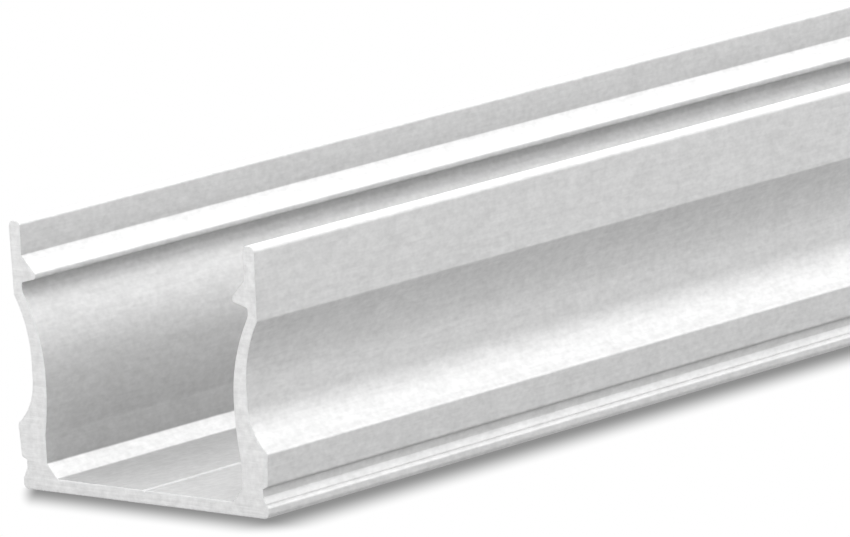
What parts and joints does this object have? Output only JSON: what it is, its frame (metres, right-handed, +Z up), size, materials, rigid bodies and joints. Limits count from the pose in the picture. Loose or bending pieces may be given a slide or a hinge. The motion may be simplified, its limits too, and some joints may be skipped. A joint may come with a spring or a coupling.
{
  "type": "led strip profile",
  "caption": "Cut length of extruded aluminium channel for an LED strip, with waisted walls, an inner ridge along each wall for a snap-in cover, and a notched foot along each side.",
  "frame": {"origin": "middle of the underside, halfway along the length", "axes": "+Y along the length, +Z up out of the channel's open side, +X across the section"},
  "size_m": [0.0172, 1, 0.0143],
  "materials": {
    "profile": "satin natural anodised, with fine die lines along the length"
  },
  "bodies": {
    "root": {"profile": "profile"}
  },
  "joints": []
}
